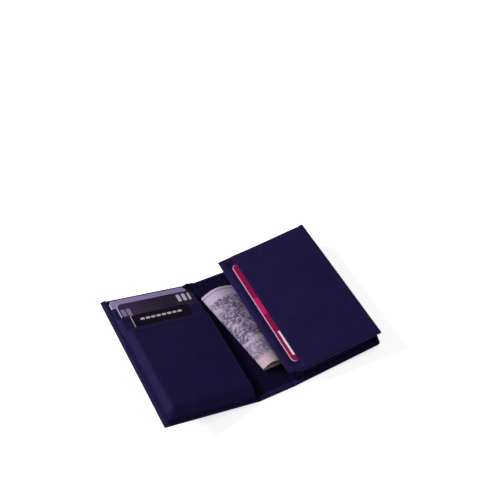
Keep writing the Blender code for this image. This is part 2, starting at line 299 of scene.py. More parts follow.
def shell_section(run, puff):
    """The outer fabric across the strip, as (v, h): the front hem, round the front edge, the outer
    face, round the back edge and the back hem."""
    v_front = blend_knots(run, FRONT_KNOTS)
    v_back = blend_knots(run, BACK_KNOTS)
    edge = pressed(blend_knots(run, EDGE_KNOTS), run)
    inner = pressed(blend_knots(run, HEM_KNOTS), run)
    hem_middle = inner - HEM_SAG * (inner - edge)
    back_hem = HEM if run > CREASES[3] else BACK_HEM
    radius = (edge - SHELL_H) / 2
    middle = SHELL_H + radius
    arc = [math.pi * (0.5 + i / ARC_STEPS) for i in range(ARC_STEPS + 1)]
    arc = [(radius * (1 + math.cos(a)), middle + radius * math.sin(a)) for a in arc]
    front = [(v_front + HEM, inner), (v_front + HEM * HEM_MIDDLE, hem_middle)]
    front += [(v_front + inset, h) for inset, h in arc]
    back = [(v_back - inset, h) for inset, h in arc[::-1]]
    back += [(v_back - back_hem * HEM_MIDDLE, hem_middle), (v_back - back_hem, inner)]
    low, high = front[-1][0], back[0][0]
    face = []
    for v in steps(low, high, FACE_STEP)[1:-1]:
        share = (v - low) / (high - low)
        face.append((v, SHELL_H - puff * math.sin(math.pi * share) ** 0.7))
    return front + face + back


def shell_strip(name, spots, material, puff=None):
    """Outer fabric with its hems along spots (body, x, turn, run), some with a lift added.
    puff(run) swells the outer face outwards."""
    points, uvs = [], []
    count = None
    for body, x, turn, run, *lift in spots:
        section = shell_section(min(run, CREASES[3] + SLIT), puff(run) if puff else 0.0)
        count = count or len(section)
        section = resampled(section, count)
        points.append([place(body, x, v, h + sum(lift), turn) for v, h in section])
        uvs.append([(run, along - HEM) for along in arc_lengths(section)])
    return grid_mesh(name, points, uvs, material)


def arc_lengths(line):
    """How far along a line of points each one is."""
    return np.cumsum([0.0] + [math.dist(a, b) for a, b in zip(line, line[1:])])


def resampled(section, count):
    """The same section with the given number of points: only its outer face is spaced anew."""
    if len(section) == count:
        return section
    ends = ARC_STEPS + 3
    face = np.array(section[ends - 1 : len(section) - ends + 1])
    known = np.linspace(0, 1, len(face))
    wanted = np.linspace(0, 1, count - 2 * ends + 2)[1:-1]
    middle = [tuple(float(np.interp(t, known, axis)) for axis in face.T) for t in wanted]
    return section[:ends] + middle + section[-ends:]


LINING_STEPS = 24
UNDER_FRONT_HEM, UNDER_BACK_HEM = 0.8, 0.6


def lining_strip(name, spots, material):
    """The lining, tucked under the hems on both sides."""
    points, uvs = [], []
    for body, x, turn, run in spots:
        back_hem = HEM if run > CREASES[3] else BACK_HEM
        low = blend_knots(run, FRONT_KNOTS) + HEM - UNDER_FRONT_HEM
        high = blend_knots(run, BACK_KNOTS) - back_hem + UNDER_BACK_HEM
        h = pressed(blend_knots(run, LINING_KNOTS), run)
        row = [low + (high - low) * i / LINING_STEPS for i in range(LINING_STEPS + 1)]
        points.append([place(body, x, v, h, turn) for v in row])
        uvs.append([(run, v) for v in row])
    return grid_mesh(name, points, uvs, material, thickness=LINING_CLOTH)


# ---- materials


def node(tree, kind, **settings):
    made = tree.nodes.new(kind)
    for key, value in settings.items():
        setattr(made, key, value)
    return made


def wire(tree, value, socket):
    """Link a node's output to a socket, or set the socket to a number."""
    if isinstance(value, bpy.types.NodeSocket):
        tree.links.new(value, socket)
    else:
        socket.default_value = value


def math_node(tree, operation, a, b=0.0, c=None, clamp=False):
    made = node(tree, "ShaderNodeMath", operation=operation, use_clamp=clamp)
    for value, socket in zip((a, b, c), made.inputs):
        if value is not None:
            wire(tree, value, socket)
    return made.outputs[0]


def times(tree, a, b):
    return math_node(tree, "MULTIPLY", a, b)


def plus(tree, a, b):
    return math_node(tree, "ADD", a, b)


def mix_colour(tree, share, a, b, blend_type="MIX"):
    """A mix of two colours, each a node's output or three numbers."""
    made = node(tree, "ShaderNodeMix", data_type="RGBA", blend_type=blend_type)
    wire(tree, share, made.inputs[0])
    for colour, socket in ((a, made.inputs[6]), (b, made.inputs[7])):
        wire(tree, colour if isinstance(colour, bpy.types.NodeSocket) else (*colour, 1.0), socket)
    return made.outputs[2]


def noise(tree, vector, scale, detail=2.0, roughness=0.5):
    made = node(tree, "ShaderNodeTexNoise")
    wire(tree, vector, made.inputs["Vector"])
    made.inputs["Scale"].default_value = scale
    made.inputs["Detail"].default_value = detail
    made.inputs["Roughness"].default_value = roughness
    return made.outputs["Fac"]


def step_range(tree, value, low, high):
    """0 at low and 1 at high, with an eased step between them."""
    made = node(tree, "ShaderNodeMapRange", clamp=True, interpolation_type="SMOOTHSTEP")
    wire(tree, value, made.inputs["Value"])
    made.inputs["From Min"].default_value = low
    made.inputs["From Max"].default_value = high
    return made.outputs["Result"]


def new_material(name, roughness, specular=0.5, tint=(1.0, 1.0, 1.0)):
    material = bpy.data.materials.new(name)
    material.use_nodes = True
    tree = material.node_tree
    shader = tree.nodes["Principled BSDF"]
    shader.inputs["Roughness"].default_value = roughness
    shader.inputs["Specular IOR Level"].default_value = specular
    shader.inputs["Specular Tint"].default_value = (*tint, 1.0)
    return material, tree, shader


def bump(tree, shader, height, strength, distance):
    """Relief from a height between 0 and 1. The distance is in mm."""
    made = node(tree, "ShaderNodeBump")
    made.inputs["Strength"].default_value = strength
    made.inputs["Distance"].default_value = distance * MM
    wire(tree, height, made.inputs["Height"])
    wire(tree, made.outputs[0], shader.inputs["Normal"])


def row_frame_point(tree):
    return node(tree, "ShaderNodeTexCoord").outputs["Object"]


def cloth_coordinates(tree):
    """The flat cloth's coordinates in metres: both together, and each on its own."""
    uv = node(tree, "ShaderNodeUVMap", uv_map="cloth").outputs["UV"]
    parts = node(tree, "ShaderNodeSeparateXYZ")
    wire(tree, uv, parts.inputs[0])
    return uv, parts.outputs[0], parts.outputs[1]


THREAD_ROUNDNESS = 0.6


def plain_weave(tree, along, across_cloth, pitch):
    """A plain weave of round threads. Returns its height and which thread is on top."""
    turn = math.pi / pitch
    waves = [math_node(tree, "SINE", times(tree, t, turn)) for t in (along, across_cloth)]
    on_top = math_node(tree, "GREATER_THAN", times(tree, *waves), 0.0)
    rounds = [
        math_node(tree, "POWER", math_node(tree, "ABSOLUTE", wave), THREAD_ROUNDNESS)
        for wave in waves
    ]
    return times(tree, *rounds), on_top


SHEEN_TINT = (0.5, 0.38, 1.0)
WORN_THREAD = (0.04, 0.03, 0.09)


def canvas(name, warp, weft, pitch, roughness, specular, relief):
    """Woven canvas: two thread tones, worn fibres, cloudy fading and painted shade in the gaps
    between threads.
    """
    material, tree, shader = new_material(name, roughness, specular, SHEEN_TINT)
    uv, along, across_cloth = cloth_coordinates(tree)
    height, on_top = plain_weave(tree, along, across_cloth, pitch)
    colour = mix_colour(tree, on_top, warp, weft)
    grain = noise(tree, uv, 1.1 / pitch, 2.0, 0.7)
    colour = mix_colour(tree, times(tree, grain, 0.3), colour, WORN_THREAD)
    clouds = step_range(tree, noise(tree, uv, 55.0, 4.0, 0.6), 0.35, 0.7)
    faded = mix_colour(tree, clouds, (0.88, 0.88, 0.88), (1.06, 1.06, 1.06))
    colour = mix_colour(tree, 1.0, colour, faded, "MULTIPLY")
    # Painted shade: the colour is darkened where the weave's height is low, between the threads.
    gap_shade = mix_colour(tree, height, (0.45, 0.45, 0.5), (1.0, 1.0, 1.0))
    colour = mix_colour(tree, 1.0, colour, gap_shade, "MULTIPLY")
    wire(tree, colour, shader.inputs["Base Color"])
    rough = math_node(tree, "MULTIPLY_ADD", grain, 0.15, roughness - 0.08)
    wire(tree, rough, shader.inputs["Roughness"])
    bump(tree, shader, plus(tree, height, times(tree, grain, 0.5)), relief, 0.16)
    return material


# Each cloth: the tones of its warp and weft, thread pitch, roughness, specular level and relief.
CANVAS = canvas("canvas", (0.034, 0.019, 0.15), (0.001, 0.0005, 0.008), 0.7 * MM, 0.52, 0.14, 0.8)
# The lining's tones are partly its own darker cloth and partly painted shade: they are darkened
# further for the shaded spine channel beside the note.
LINING_WITH_PAINTED_SHADE = canvas("lining", (0.007, 0.004, 0.032), (0.002, 0.001, 0.01), 0.5 * MM, 0.7, 0.06, 0.5)
THREAD = canvas("thread", (0.09, 0.07, 0.2), (0.06, 0.045, 0.15), 0.3 * MM, 0.5, 0.2, 0.5)


# ---- fabric pieces


FLAP_SWELL = 0.45


def flap_puff(run):
    """How far the flap's outer face swells over the card in its slit pocket."""
    along = min(max((run - CREASES[3]) / SLIT, 0.0), 1.0)
    return FLAP_SWELL * math.sin(math.pi * along) ** 0.8


def strip_parts(card_end, flap_end):
    """The folded strip in four parts that meet in the middle of a panel. Each part is its spots,
    the two bodies it spans and the bodies whose CAD layers it stands for."""
    spine, bill, inner = SPINE_WIDTH / 2, BILL_PANEL_WIDTH / 2, INNER_SPINE_WIDTH / 2
    card_side = crossing("card_panel", "spine", "card_panel", card_end, spine)
    bill_side = crossing("spine", "bill_panel", "bill_panel", spine, bill)
    fold = crossing("bill_panel", "inner_spine", "inner_spine", bill, inner)
    flap = crossing("inner_spine", "flap", "flap", inner, flap_end)
    return {
        "card_side": (card_side, "spine", "card_panel", ("card_panel",)),
        "bill_side": (bill_side, "spine", "bill_panel", ("spine", "bill_panel")),
        "fold": (fold, "bill_panel", "inner_spine", ("inner_spine",)),
        "flap": (flap, "inner_spine", "flap", ("flap",)),
    }


# The outer cloth's turn back under itself at the slit, as (past the slit, lift).
SLIT_FOLD = ((0.06, 0.04), (0.16, 0.12), (0.06, 0.24), (-0.3, 0.28), (-3.5, 0.28))


def make_shell():
    """The outer fabric. Returns each piece with its width along the strip."""
    parts = strip_parts(-CARD_PANEL_WIDTH + 0.6, SLIT - 0.1)
    turned = [("flap", SLIT + out, 0.0, RUN["flap"] + SLIT, lift) for out, lift in SLIT_FOLD]
    parts["flap"][0].extend(turned)
    made = {}
    for part, (spots, a, b, bodies) in parts.items():
        name = "outer_" + part
        piece = shell_strip(name, spots, CANVAS, flap_puff if part == "flap" else None)
        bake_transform(piece)
        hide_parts(*(body + "_shell" for body in bodies))
        made[name] = (piece, spots[-1][3] - spots[0][3])
    return made


LINING_EDGE = 2.4


def make_linings():
    parts = strip_parts(-CARD_PANEL_WIDTH + LINING_EDGE, FLAP_WIDTH - LINING_EDGE)
    for part, (spots, a, b, bodies) in parts.items():
        piece = lining_strip("lining_" + part, spots, LINING_WITH_PAINTED_SHADE)
        nodes = [body + "_lining" for body in bodies]
        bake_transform(piece)
        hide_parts(*nodes)


CORNER_ROWS = (0.02, 0.06, 0.14, 0.28, 0.5, 0.8)
HEM_ARC_STEPS = 8


def make_left_hem():
    """The turned left edge of the card panel, lying over the ends of the front and back hems."""
    full_radius = (EDGE_H - SHELL_H) / 2
    middle = SHELL_H + full_radius
    left = -CARD_PANEL_WIDTH
    rows = list(CORNER_ROWS) + steps(4.0, DEPTH - 4.0, 4.0)
    rows += [DEPTH - v for v in CORNER_ROWS[::-1]]
    points, uvs = [], []
    for v in rows:
        inset = min(v, DEPTH - v, full_radius)
        radius = math.sqrt(full_radius**2 - (full_radius - inset) ** 2) + 0.03
        top = middle + radius
        section = [(left + 1.4, middle - radius)]
        for i in range(HEM_ARC_STEPS + 1):
            a = -math.pi / 2 - math.pi * i / HEM_ARC_STEPS
            x = left + 0.6 + full_radius * math.cos(a)
            section.append((x, middle + radius * math.sin(a)))
        turned_over = ((1.2, 0.75), (1.9, 1.2), (HEM, 1.4))
        section += [(left + x, top + rise * radius) for x, rise in turned_over]
        points.append([place("card_panel", x, v, h) for x, h in section])
        uvs.append([(t, v) for t in arc_lengths(section)])
    piece = grid_mesh("left_hem", points, uvs, CANVAS)
    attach(piece, "card_panel")
    return piece


# Pockets of the card panel, from the rear one to the front one. Each lifts the cloth above the one
# below it, by (lift, (start, start at the mouths), (width, width at the mouths)): the cloth rises
# from u = start over the width, more steeply at the mouths, where it clears the cards.
POCKET_NAMES = ("pocket_rear", "pocket_middle", "pocket_front")
POCKET_MOUTHS = (91.0, 81.7, 71.0)
POCKET_LIFTS = (
    (1.1, (3.2, 2.8), (2.6, 1.2)),
    (1.25, (4.3, 3.4), (3.4, 2.6)),
    (1.2, (5.6, 5.0), (3.6, 3.4)),
)
POCKET_LEFT, POCKET_RIGHT, POCKET_FRONT = 2.7, 62.0, 2.3
POCKET_BASE, POCKET_PLY = 2.0, 0.3
POCKET_FRONT_RISE = 6.5
POCKET_SIDE_DROP = 0.4
MOUTH_ZONE, MOUTH_ZONE_WIDTH = 62.0, 10.0
MOUTH_HEM, MOUTH_STEP = 3.2, 0.8
POCKET_TUCK = 14.0  # how far a pocket's cloth goes on below the next mouth


def pocket_height(level, u, v):
    """Height of a pocket's cloth: each pocket drapes over the card below it and the pockets under
    it, and all are sewn down at the left, the front and the right."""
    height = POCKET_BASE
    front = ease((v - POCKET_FRONT) / POCKET_FRONT_RISE)
    right = 1.0 - math.exp(-max(POCKET_RIGHT - u, 0.0) / POCKET_SIDE_DROP)
    mouth = ease((v - MOUTH_ZONE) / MOUTH_ZONE_WIDTH)
    for lift, starts, widths in POCKET_LIFTS[: level + 1]:
        start = starts[0] + (starts[1] - starts[0]) * mouth
        width = widths[0] + (widths[1] - widths[0]) * mouth
        height += lift * ease((u - start) / width) * front * right
    return height + POCKET_PLY * level


def pocket_swell(level, u, v):
    """The soft fullness of the front pocket, the ripples of its cloth and its ridge at the seam."""
    if level != 2:
        return 0.0
    a = (u - POCKET_LEFT) / (POCKET_RIGHT - POCKET_LEFT)
    b = (v - POCKET_FRONT) / (POCKET_MOUTHS[level] - POCKET_FRONT)
    full = max(math.sin(math.pi * a), 0.0) * max(math.sin(math.pi * min(b, 1.0)), 0.0)
    ripple = 0.06 * math.sin(0.13 * u + 0.05 * v) + 0.05 * math.sin(0.21 * v - 0.07 * u + 1.3)
    seam = 0.35 * math.exp(-(((u - POCKET_RIGHT + 0.9) / 0.4) ** 2))
    return 0.3 * full + ripple * full + seam


def pocket_point(level, u, v):
    height = pocket_height(level, u, v) + pocket_swell(level, u, v)
    fold = TURNED_IN * ease((v - (POCKET_MOUTHS[level] - MOUTH_HEM)) / MOUTH_STEP)
    return place("card_panel", u - CARD_PANEL_WIDTH, v, height + fold)


def make_pockets():
    us = [POCKET_LEFT + 0.02] + steps(POCKET_LEFT + 0.2, POCKET_LEFT + 10.0, 0.45)
    us += steps(POCKET_LEFT + 13.0, POCKET_RIGHT - 5.0, 3.0)
    us += [POCKET_RIGHT - d for d in (3.0, 2.0, 1.4, 1.0, 0.7, 0.45, 0.25, 0.12, 0.0)]
    for level, name in enumerate(POCKET_NAMES):
        front_one = level == 2
        mouth = POCKET_MOUTHS[level]
        start = POCKET_FRONT if front_one else POCKET_MOUTHS[level + 1] - POCKET_TUCK
        vs = [start + d for d in (0.0, 0.2, 0.5, 0.9, 1.5, 2.3, 3.3, 4.6, 6.4, 9.0)]
        vs += steps(start + 12.0, mouth - 5.0, 3.0 if front_one else 2.0)
        vs += [mouth - d for d in (4.0, MOUTH_HEM, 2.8, 2.4, 1.6, 0.8, 0.3, 0.0)]
        points = [[pocket_point(level, u, v) for v in vs] for u in us]
        uvs = [[(u, v + 3.0 * level) for v in vs] for u in us]
        piece = grid_mesh(name + "_cloth", points, uvs, CANVAS, thickness=POCKET_CLOTH)
        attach(piece, "card_panel")
        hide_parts(name)


# The facing's sections along the flap, as (x, set back at both ends, its outer and inner heights):
# flat under the slit, then rounded out to its free edge.
FACING_RINGS = (
    (SLIT - 8.0, 1.6, 1.62, 2.1),
    (SLIT - 0.4, 1.6, 1.62, 2.1),
    (SLIT + 0.1, 0.4, 1.6, 2.15),
    (SLIT + 0.3, 0.0, 1.55, 2.2),
    (FLAP_WIDTH - 6.3, 0.0, 1.5, 2.2),
    (FLAP_WIDTH - 5.6, 0.0, 1.2, 2.2),
    (FLAP_WIDTH - 4.6, 0.0, 0.85, 2.2),
    (FLAP_WIDTH - 3.2, 0.0, 0.7, 2.2),
    (FLAP_WIDTH - 1.8, 0.0, 0.72, 2.15),
    (FLAP_WIDTH - 0.9, 0.05, 0.85, 2.1),
    (FLAP_WIDTH - 0.4, 0.12, 1.0, 1.95),
    (FLAP_WIDTH - 0.1, 0.3, 1.2, 1.75),
)
FACING_SEWN_H = 0.72
FACING_SLANT = 3.0  # how far the front end is cut back at the free edge
FACING_OVERHANG = 0.4
FACING_ARC_STEPS = 5


def make_flap_facing():
    """The facing under the slit: its free edge shows left of the slit and is rounded."""
    points, uvs = [], []
    for x, inset, outer, inner in FACING_RINGS:
        middle, half = (outer + inner) / 2, (inner - outer) / 2
        out = max(x - SLIT, 0.0) / (FLAP_WIDTH - SLIT)
        near = FLAP_FRONT + inset + FACING_SLANT * out**1.3
        far = FLAP_BACK - inset + FACING_OVERHANG
        ends = [half, 1.0, 1.8, 2.6, 3.4, 4.2, 5.0, 6.0, 7.5]
        face = [near + d for d in ends] + list(np.linspace(near + 11.0, far - 11.0, 18))
        face += [far - d for d in ends[::-1]]
        turns = [math.pi / 2 - math.pi * i / FACING_ARC_STEPS for i in range(1, FACING_ARC_STEPS)]
        loop, flat = [], []
        for v in face:
            sewn = 1.0 - ease((min(v - near, far - v) - 2.5) / 4.0) if x > SLIT else 0.0
            loop.append((v, outer + (min(outer, FACING_SEWN_H) - outer) * sewn))
            flat.append((x, v))
        for i, a in enumerate(turns, 1):
            loop.append((far - half + half * math.cos(a), middle - half * math.sin(a)))
            flat.append((x, far + i * 0.2))
        for v in face[::-1]:
            loop.append((v, inner))
            flat.append((x + FLAP_BACK - FLAP_FRONT, v))
        for i, a in enumerate(turns, 1):
            loop.append((near + half - half * math.cos(a), middle + half * math.sin(a)))
            flat.append((x, near - i * 0.2))
        points.append([place("flap", x, v, h) for v, h in loop])
        uvs.append(flat)
    piece = grid_mesh("flap_facing_edge", points, uvs, CANVAS, thickness=0, loop=True)
    close_ends(piece, len(points[0]), len(points))
    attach(piece, "flap")
    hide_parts("flap_facing")


def close_ends(obj, columns, rows):
    """Caps on the first and last rings of a looped grid."""
    bm = bmesh.new()
    bm.from_mesh(obj.data)
    bm.verts.ensure_lookup_table()
    bm.faces.new([bm.verts[i] for i in range(columns)][::-1])
    bm.faces.new([bm.verts[(rows - 1) * columns + i] for i in range(columns)])
    bmesh.ops.recalc_face_normals(bm, faces=bm.faces)
    bm.to_mesh(obj.data)
    bm.free()


# The bill pocket: where it is sewn down, the height there, and its height at the mouth and away
# from it.
BILL_POCKET_ENDS = (2.0, 57.6)
BILL_POCKET_SIDE = 3.4
BILL_POCKET_SEAM_H, BILL_POCKET_MOUTH_H = 1.85, 6.85
BILL_POCKET_SLOPE = 1.55 / 55.5
BILL_MOUTH_HEM = 2.8


def bill_pocket_height(x, v):
    top = BILL_POCKET_MOUTH_H - BILL_POCKET_SLOPE * (x - BILL_POCKET_ENDS[0])
    side = min(v - BILL_POCKET_SIDE, DEPTH - BILL_POCKET_SIDE - v)
    shut = 1.0 - math.exp(-max(BILL_POCKET_ENDS[1] - x, 0.0) / 0.5)
    rise = (1.0 - math.exp(-max(side, 0.0) / 1.0)) * shut
    return BILL_POCKET_SEAM_H + (top - BILL_POCKET_SEAM_H) * rise


def make_bill_pocket():
    """The bill pocket's cloth: open towards the spine, sewn down on the other sides."""
    mouth, end = BILL_POCKET_ENDS
    xs = [mouth + d for d in (0.0, 0.3, 0.9, 2.0, 2.9, 3.2, 3.6, 4.6)] + steps(9.0, 54.0, 3.0)
    xs += [end - d for d in (2.1, 1.3, 0.8, 0.5, 0.25, 0.1, 0.0)]
    edge = [0.0, 0.2, 0.45, 0.8, 1.2, 1.8, 2.6, 4.0]
    vs = [BILL_POCKET_SIDE + d for d in edge] + steps(10.0, DEPTH - 10.0, 4.0)
    vs += [DEPTH - BILL_POCKET_SIDE - d for d in edge[::-1]]
    points, uvs = [], []
    for x in xs:
        fold = TURNED_IN / 2 * (1.0 - ease((x - mouth - BILL_MOUTH_HEM) / 0.6))
        row = [place("bill_panel", x, v, bill_pocket_height(x, v) + fold) for v in vs]
        points.append(row)
        uvs.append([(x, v) for v in vs])
    piece = grid_mesh("bill_pocket_cloth", points, uvs, LINING_WITH_PAINTED_SHADE, thickness=POCKET_CLOTH)
    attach(piece, "bill_panel")
    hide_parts("bill_pocket")


# ---- banknote

NOTE_LENGTH, NOTE_THICKNESS = 127.0, 0.14
NOTE_ENDS = (17.5, 84.0)
# Pairs are for the note's front edge and its back edge.
NOTE_FOLD_X = (11.4, 0.6)
NOTE_HUMP = (2.9, 4.0)
NOTE_LOW, NOTE_BEND = 2.15, 1.5  # the lower leaf's height, and the radius of the fold
NOTE_TAPER = 0.02
NOTE_ROWS = 28
NOTE_LOWER_STEPS, NOTE_BEND_STEPS, NOTE_HUMP_STEPS, NOTE_UPPER_STEPS = 25, 12, 22, 15


def note_line(share):
    """The note's middle line at a share of the way from its front edge to its back edge, as
    points (x from the card panel's crease, height): the lower leaf, the fold, the hump over the
    spine and the upper leaf in the bill pocket."""
    fold_x = NOTE_FOLD_X[0] + (NOTE_FOLD_X[1] - NOTE_FOLD_X[0]) * share
    hump = NOTE_HUMP[0] + (NOTE_HUMP[1] - NOTE_HUMP[0]) * share
    centre_x = fold_x + NOTE_BEND + 0.15
    centre_z = NOTE_LOW + NOTE_BEND
    upper_z = centre_z + NOTE_BEND
    mouth = SPINE_WIDTH + 1.5
    end_x = centre_x + (NOTE_LENGTH - math.pi * NOTE_BEND) / 2
    line = [(x, NOTE_LOW) for x in np.linspace(end_x, centre_x, NOTE_LOWER_STEPS + 1)]
    for i in range(1, NOTE_BEND_STEPS):
        angle = -math.pi / 2 - math.pi * i / NOTE_BEND_STEPS
        x = centre_x + NOTE_BEND * math.cos(angle)
        line.append((x, centre_z + NOTE_BEND * math.sin(angle)))
    for i in range(NOTE_HUMP_STEPS + 1):
        along = i / NOTE_HUMP_STEPS
        rise = hump * math.sin(math.pi * along**0.8) ** 1.2
        line.append((centre_x + along * (mouth - centre_x), upper_z + rise))
    for x in np.linspace(mouth, end_x, NOTE_UPPER_STEPS + 1)[1:]:
        line.append((x, upper_z - NOTE_TAPER * (x - mouth)))
    return line


def note_point(x, z, v):
    if x <= SPINE_WIDTH:
        return place("spine", x, v, z)
    return place("bill_panel", x - SPINE_WIDTH, v, z)


def make_note():
    points, uvs = [], []
    for i in range(NOTE_ROWS + 1):
        share = i / NOTE_ROWS
        v = NOTE_ENDS[0] + (NOTE_ENDS[1] - NOTE_ENDS[0]) * share
        line = note_line(share)
        along = arc_lengths(line)
        waver = 0.05 * math.sin(math.pi * share)
        crimp = [waver * math.sin(0.5 * t + 4.0 * share) for t in along]
        points.append([note_point(x, z + c, v) for (x, z), c in zip(line, crimp)])
        uvs.append([(t, v - NOTE_ENDS[0]) for t in along])
    piece = grid_mesh("banknote_paper", points, uvs, note_material(), thickness=NOTE_THICKNESS)
    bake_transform(piece)
    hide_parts("banknote")


# Where the note's bands lie across it, in metres from its front edge.
ORNAMENT_BAND = (0.028, 0.064)
LIGHT_BAND = (0.014, 0.026)
BORDERS = ((0.0268, 0.0276), (0.064, 0.0648))
PEACH_EDGE = (0.018, 0.008)
NOTE_LILAC, NOTE_PEACH = (0.57, 0.44, 0.61), (0.68, 0.49, 0.5)
NOTE_INK, NOTE_WAVE_INK, NOTE_BORDER_INK = (0.02, 0.014, 0.07), (0.2, 0.13, 0.34), (0.1, 0.06, 0.22)


def note_material():
    """Banknote paper: pale lilac and peach grounds, fine wavy line work and a dark vignette made
    only of ornament. Its bands follow the note's long edges."""
    material, tree, shader = new_material("note_paper", 0.6, specular=0.3)
    uv, along, across_note = cloth_coordinates(tree)
    warped = plus(tree, across_note, times(tree, noise(tree, uv, 50.0), 0.012))
    colour = mix_colour(tree, step_range(tree, warped, *PEACH_EDGE), NOTE_LILAC, NOTE_PEACH)
    wobble = noise(tree, uv, 260.0, 2.0)
    waves = fine_lines(tree, along, across_note, wobble, 1.3, 0.4)
    colour = mix_colour(tree, times(tree, waves, 0.45), colour, NOTE_WAVE_INK)
    light_band = times(tree, band(tree, warped, *LIGHT_BAND), 0.7)
    density = math_node(tree, "MAXIMUM", band(tree, warped, *ORNAMENT_BAND), light_band)
    leaves = step_range(tree, noise(tree, uv, 480.0, 4.0, 0.8), 0.42, 0.5)
    masses = step_range(tree, noise(tree, uv, 130.0, 3.0, 0.6), 0.3, 0.52)
    ink = times(tree, leaves, times(tree, masses, density))
    hatch = fine_lines(tree, across_note, along, wobble, 0.9, 0.5)
    screen = math_node(tree, "MULTIPLY_ADD", hatch, 0.3, 0.7)
    colour = mix_colour(tree, times(tree, ink, screen), colour, NOTE_INK)
    borders = plus(tree, *(band(tree, across_note, *ends) for ends in BORDERS))
    borders = math_node(tree, "MULTIPLY", borders, 0.7, clamp=True)
    colour = mix_colour(tree, borders, colour, NOTE_BORDER_INK)
    wire(tree, colour, shader.inputs["Base Color"])
    bump(tree, shader, noise(tree, uv, 500.0, 4.0, 0.7), 0.25, 0.15)
    return material


BAND_SOFTNESS = 0.0006


def band(tree, value, low, high):
    """1 where the value, in metres, is from low to high, with soft edges."""
    rise = step_range(tree, value, low - BAND_SOFTNESS, low + BAND_SOFTNESS)
    return times(tree, rise, step_range(tree, value, high + BAND_SOFTNESS, high - BAND_SOFTNESS))


def fine_lines(tree, a, b, wobble, pitch, width):
    """Thin wavy lines across a, a pitch in mm apart and a share of it wide."""
    bent = plus(tree, plus(tree, a, times(tree, wobble, 0.004)), times(tree, b, 0.12))
    wave = math_node(tree, "SINE", times(tree, bent, 2 * math.pi / (pitch * MM)))
    return step_range(tree, wave, 1.0 - 2 * width, 1.0 - width)


# ---- cards


def card_frame(tree, body, x_middle, v_middle):
    """Coordinates on a card, in mm from its middle: across the wallet and along it."""
    from_middle = node(tree, "ShaderNodeVectorMath", operation="SUBTRACT")
    wire(tree, row_frame_point(tree), from_middle.inputs[0])
    middle = Vector(place(body, x_middle, v_middle, FOLD_HEIGHT)) * MM
    from_middle.inputs[1].default_value = middle
    result = []
    for direction in (axes(body)[0], Vector((0, 1, 0))):
        dot = node(tree, "ShaderNodeVectorMath", operation="DOT_PRODUCT")
        wire(tree, from_middle.outputs[0], dot.inputs[0])
        dot.inputs[1].default_value = direction / MM
        result.append(dot.outputs["Value"])
    return result


def rounded_box(tree, a, b, centre, half, radius):
    """The signed distance in mm from a rounded rectangle's outline."""
    outside = []
    for value, middle, size in zip((a, b), centre, half):
        away = math_node(tree, "ABSOLUTE", math_node(tree, "SUBTRACT", value, middle))
        outside.append(math_node(tree, "SUBTRACT", away, size - radius))
    square = [math_node(tree, "POWER", math_node(tree, "MAXIMUM", q, 0.0), 2.0) for q in outside]
    length = math_node(tree, "SQRT", plus(tree, *square))
    inside = math_node(tree, "MINIMUM", math_node(tree, "MAXIMUM", *outside), 0.0)
    return math_node(tree, "SUBTRACT", plus(tree, length, inside), radius)


CARD_ROUGHNESS = 0.4
FADE_REACH = 30.0
# The pale rim is the card's pale core, painted as a highlight only on the side that faces the
# light.
RIM_FROM, RIM_FULL = 3.0, 1.5  # how near the card's visible side its pale rim starts, in mm


def card_material(name, body, middle, size, radius, ground, lit_rim_colour, marks, side=-1.0, specular=0.3):
    """A printed card: a two-tone ground with fine grain, marks, each (centre, half size, corner
    radius, colour), and a pale rim on one side: the card's pale core, painted as a highlight on the
    side the light falls on."""
    material, tree, shader = new_material(name, CARD_ROUGHNESS, specular=specular)
    a, b = card_frame(tree, body, *middle)
    here = row_frame_point(tree)
    fade = step_range(tree, plus(tree, a, times(tree, b, 0.4)), -FADE_REACH, FADE_REACH)
    colour = mix_colour(tree, fade, *ground)
    grain = noise(tree, here, 2500.0, 2.0)
    mottle = mix_colour(tree, grain, (0.75, 0.75, 0.75), (1.15, 1.15, 1.15))
    colour = mix_colour(tree, 1.0, colour, mottle, "MULTIPLY")
    for centre, half, corner, ink in marks:
        mark = math_node(tree, "LESS_THAN", rounded_box(tree, a, b, centre, half, corner), 0.0)
        colour = mix_colour(tree, mark, colour, ink)
    half_size = (size[0] / 2, size[1] / 2)
    outline = rounded_box(tree, a, b, (0, 0), half_size, radius)
    # Painted highlight: the pale core is drawn at the rim only on the side the light falls on.
    edge = times(tree, a, side)
    edge = step_range(tree, edge, half_size[0] - RIM_FROM, half_size[0] - RIM_FULL)
    lit_core_rim = times(tree, edge, step_range(tree, outline, -0.6, -0.25))
    colour = mix_colour(tree, lit_core_rim, colour, lit_rim_colour)
    wire(tree, colour, shader.inputs["Base Color"])
    scratches = noise(tree, here, 900.0, 3.0, 0.7)
    rough = math_node(tree, "MULTIPLY_ADD", scratches, 0.25, CARD_ROUGHNESS - 0.1)
    wire(tree, rough, shader.inputs["Roughness"])
    bump(tree, shader, grain, 0.1, 0.05)
    return material


def paint(node_name, material):
    """Gives a carried-over CAD node its material."""
    obj = frame["nodes"][node_name]
    obj.data.materials.clear()
    obj.data.materials.append(material)


# Cards: sizes and corner radii, and the left and back edges of those in the stepped pockets, from
# the card panel's left edge and the wallet's front edge.
CARD, CARD_RADIUS = (53.98, 85.6), 3.18
TAG, TAG_RADIUS = (40.0, 70.0), 1.2
LILAC_CORNER, GREY_CORNER, TAG_CORNER = (4.15, 98.3), (6.8, 93.3), (11.7, 81.8)
RED_SHOWS = 6.3  # from the flap's free edge to the red card
RED_FRONT = 7.1
